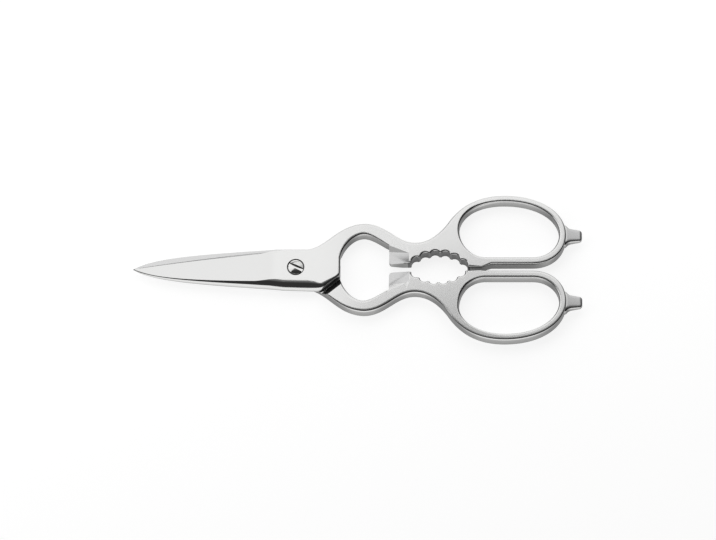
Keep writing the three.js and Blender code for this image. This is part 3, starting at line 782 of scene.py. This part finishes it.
def screw_blank(name):
    """Turned blank: shank, head and a shallow dome that rolls over at the rim."""
    dome_radius = (head_radius ** 2 + head_dome ** 2) / (2 * head_dome)
    dome_half = math.asin((head_radius - head_rim) / dome_radius)
    dome_centre = half_thickness + head_dome - dome_radius
    profile = [(shank_radius, -half_thickness), (shank_radius, half_thickness - head_depth),
               (head_radius, half_thickness - head_depth)]
    rim_z = dome_centre + dome_radius * math.cos(dome_half) - head_rim
    for step in range(7):
        turn = (math.pi / 2 - dome_half) * step / 6
        profile.append((head_radius - head_rim * (1 - math.cos(turn)), rim_z + head_rim * math.sin(turn)))
    for step in range(1, 16):
        turn = dome_half * (1 - step / 16)
        profile.append((dome_radius * math.sin(turn), dome_centre + dome_radius * math.cos(turn)))
    turn = np.linspace(0, 2 * math.pi, 128, endpoint=False)
    return loft_mesh(name, [[(r * math.cos(t), r * math.sin(t), z) for t in turn] for r, z in profile])


def slot_cutter(name):
    along = np.array([math.cos(math.radians(slot_heading)), math.sin(math.radians(slot_heading))])
    across = np.array([-along[1], along[0]]) * slot_width / 2
    top = half_thickness + head_dome
    ring = [along * head_radius * 2 * a + across * s for a, s in ((-1, -1), (1, -1), (1, 1), (-1, 1))]
    return loft_mesh(name, [[(x, y, z) for x, y in ring] for z in (top - slot_depth, top + 1)])


def screw_steel():
    material = bpy.data.materials.new("screw_steel")
    material.use_nodes = True
    tree = material.node_tree
    shader = tree.nodes["Principled BSDF"]
    place = add_node(tree, "ShaderNodeTexCoord")
    marks = add_node(tree, "ShaderNodeGroup", node_tree=finish)
    tree.links.new(place.outputs["Object"], marks.inputs["Vector"])
    marks.inputs["Marks per metre"].default_value = (4000, 4000, 4000)
    marks.inputs["Patches per metre"].default_value = 300
    rough = add_node(tree, "ShaderNodeMapRange", {
        "Value": marks.outputs["Patches"], "From Min": 0.3, "From Max": 0.7, "To Min": 0.08, "To Max": 0.13})
    shader.inputs["Base Color"].default_value = (0.8, 0.8, 0.79, 1)
    shader.inputs["Metallic"].default_value = 1
    tree.links.new(rough.outputs[0], shader.inputs["Roughness"])
    return material


screw = carve("screw", screw_blank("screw_blank"), [("DIFFERENCE", slot_cutter("slot"))])
screw.data.transform(Matrix.Translation(pivot) @ Matrix.Scale(MM, 4))
shade(screw, 32)
screw.data.materials.append(screw_steel())
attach(screw, "rear_half")
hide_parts("pivot_screw")

# Stage, light and camera.
# A pale floor just under the scissors, a long soft light above and behind them, a smaller one above the
# loops, and a long lens that looks down at a tilt, level with the length of the scissors.

floor_mesh = bpy.data.meshes.new("floor")
floor_gap = 0.0002
floor_corners = [(-3, -3, -floor_gap), (3, -3, -floor_gap), (3, 3, -floor_gap), (-3, 3, -floor_gap)]
floor_mesh.from_pydata(floor_corners, [], [(0, 1, 2, 3)])
floor = bpy.data.objects.new("floor", floor_mesh)
bpy.context.scene.collection.objects.link(floor)
floor_paint = bpy.data.materials.new("floor_paint")
floor_paint.use_nodes = True
tree = floor_paint.node_tree
paint = tree.nodes["Principled BSDF"]
paint.inputs["Base Color"].default_value = (0.4, 0.4, 0.4, 1)
paint.inputs["Roughness"].default_value = 1
paint.inputs["Specular IOR Level"].default_value = 0
path = add_node(tree, "ShaderNodeLightPath")
# Painted contact shadow: in reflections the floor's glow is dimmed by ambient occlusion within 6 mm of the
# scissors.
painted_contact_shadow = add_node(tree, "ShaderNodeAmbientOcclusion", {"Distance": 6 * MM}, samples=8)
mirrored = add_node(tree, "ShaderNodeMath", {
    0: path.outputs["Is Glossy Ray"], 1: path.outputs["Is Transmission Ray"]}, operation="MAXIMUM")
shaded = add_node(tree, "ShaderNodeMath", {
    0: mirrored.outputs[0], 1: painted_contact_shadow.outputs["AO"]}, operation="MULTIPLY")
seen = add_node(tree, "ShaderNodeMath", {
    0: path.outputs["Is Camera Ray"], 1: shaded.outputs[0]}, operation="MAXIMUM")
floor_glow = add_node(tree, "ShaderNodeMath", {0: seen.outputs[0], 1: 0.84}, operation="MULTIPLY")
paint.inputs["Emission Color"].default_value = (1, 1, 1, 1)
tree.links.new(floor_glow.outputs[0], paint.inputs["Emission Strength"])
floor_mesh.materials.append(floor_paint)

softbox = bpy.data.lights.new("softbox", "AREA")
softbox.shape = "RECTANGLE"
softbox.size, softbox.size_y = 1.4, 0.42
softbox.energy = 0.8 * math.pi * softbox.size * softbox.size_y
lamp = bpy.data.objects.new("softbox", softbox)
lamp.location = (-0.0709, 0.3105, 0.36)
lamp.rotation_euler = (0, 0, math.radians(35))
lamp.visible_camera = False
bpy.context.scene.collection.objects.link(lamp)
side_box = bpy.data.lights.new("side_box", "AREA")
side_box.shape = "RECTANGLE"
side_box.size, side_box.size_y = 0.34, 0.37
side_box.energy = 0.58 * math.pi * side_box.size * side_box.size_y
side_lamp = bpy.data.objects.new("side_box", side_box)
side_lamp.location = (0.235, 0.265, 0.36)
side_lamp.visible_camera = False
bpy.context.scene.collection.objects.link(side_lamp)

# The room: white walls up to eye level, dimmer at the sides, under a dark ceiling that glows toward the rear.
world = bpy.data.worlds.new("studio")
world.use_nodes = True
tree = world.node_tree
sky = tree.nodes["Background"]
place = add_node(tree, "ShaderNodeTexCoord")
axes = add_node(tree, "ShaderNodeSeparateXYZ", {"Vector": place.outputs["Generated"]})
right = add_node(tree, "ShaderNodeMath", {0: axes.outputs["X"], 1: 0.0}, operation="MAXIMUM")
height = add_node(tree, "ShaderNodeMath", {0: right.outputs[0], 1: 0.3, 2: axes.outputs["Z"]},
                  operation="MULTIPLY_ADD")
horizon = add_node(tree, "ShaderNodeMapRange", {
    "Value": height.outputs[0], "From Min": 0.4, "From Max": 0.52, "To Min": 1.0, "To Max": 0.035},
    interpolation_type="SMOOTHSTEP")
rear_glow = add_node(tree, "ShaderNodeMapRange", {
    "Value": axes.outputs["Y"], "From Min": -0.31, "From Max": 0.31, "To Min": 0.0, "To Max": 0.25},
    interpolation_type="SMOOTHSTEP")
right_fall = add_node(tree, "ShaderNodeMapRange", {
    "Value": axes.outputs["X"], "From Min": 0.15, "From Max": 0.6, "To Min": 1.0, "To Max": 0.2},
    interpolation_type="SMOOTHSTEP")
rear_left = add_node(tree, "ShaderNodeMath", {
    0: rear_glow.outputs[0], 1: right_fall.outputs[0]}, operation="MULTIPLY")
back_fall = add_node(tree, "ShaderNodeMapRange", {
    "Value": axes.outputs["Y"], "From Min": 0.45, "From Max": 0.75, "To Min": 1.0, "To Max": 0.5},
    interpolation_type="SMOOTHSTEP")
overhead = add_node(tree, "ShaderNodeMath", {
    0: rear_left.outputs[0], 1: back_fall.outputs[0]}, operation="MULTIPLY")
aside = add_node(tree, "ShaderNodeMath", {0: axes.outputs["X"]}, operation="ABSOLUTE")
side_fall = add_node(tree, "ShaderNodeMapRange", {
    "Value": aside.outputs[0], "From Min": 0.3, "From Max": 0.75, "To Min": 1.0, "To Max": 0.35},
    interpolation_type="SMOOTHSTEP")
ahead = add_node(tree, "ShaderNodeMath", {
    0: horizon.outputs[0], 1: side_fall.outputs[0]}, operation="MULTIPLY")
glow = add_node(tree, "ShaderNodeMath", {
    0: overhead.outputs[0], 1: ahead.outputs[0]}, operation="MAXIMUM")
tree.links.new(glow.outputs[0], sky.inputs["Strength"])
sky.inputs["Color"].default_value = (1, 1, 1, 1)
bpy.context.scene.world = world

camera_tilt = 22.0
camera_turn = 5.0
lens = 240.0
sensor = 36.0
picture_width = 716 * 0.4454 * MM
target = Vector((0.26 * MM, -0.11 * MM, half_thickness * MM))
distance = picture_width * lens / sensor
tilt, turn = math.radians(camera_tilt), math.radians(camera_turn)
roll = math.atan2(math.sin(turn) * math.cos(tilt), math.cos(turn))
camera = bpy.data.cameras.new("camera")
camera.lens, camera.sensor_width = lens, sensor
camera.clip_end = 20
viewer = bpy.data.objects.new("camera", camera)
viewer.matrix_world = (
    Matrix.Translation(target) @ Matrix.Rotation(turn, 4, "Z") @ Matrix.Rotation(tilt, 4, "X")
    @ Matrix.Translation((0, 0, distance)) @ Matrix.Rotation(-roll, 4, "Z"))
bpy.context.scene.collection.objects.link(viewer)
bpy.context.scene.camera = viewer
bpy.context.scene.view_settings.view_transform = "Standard"
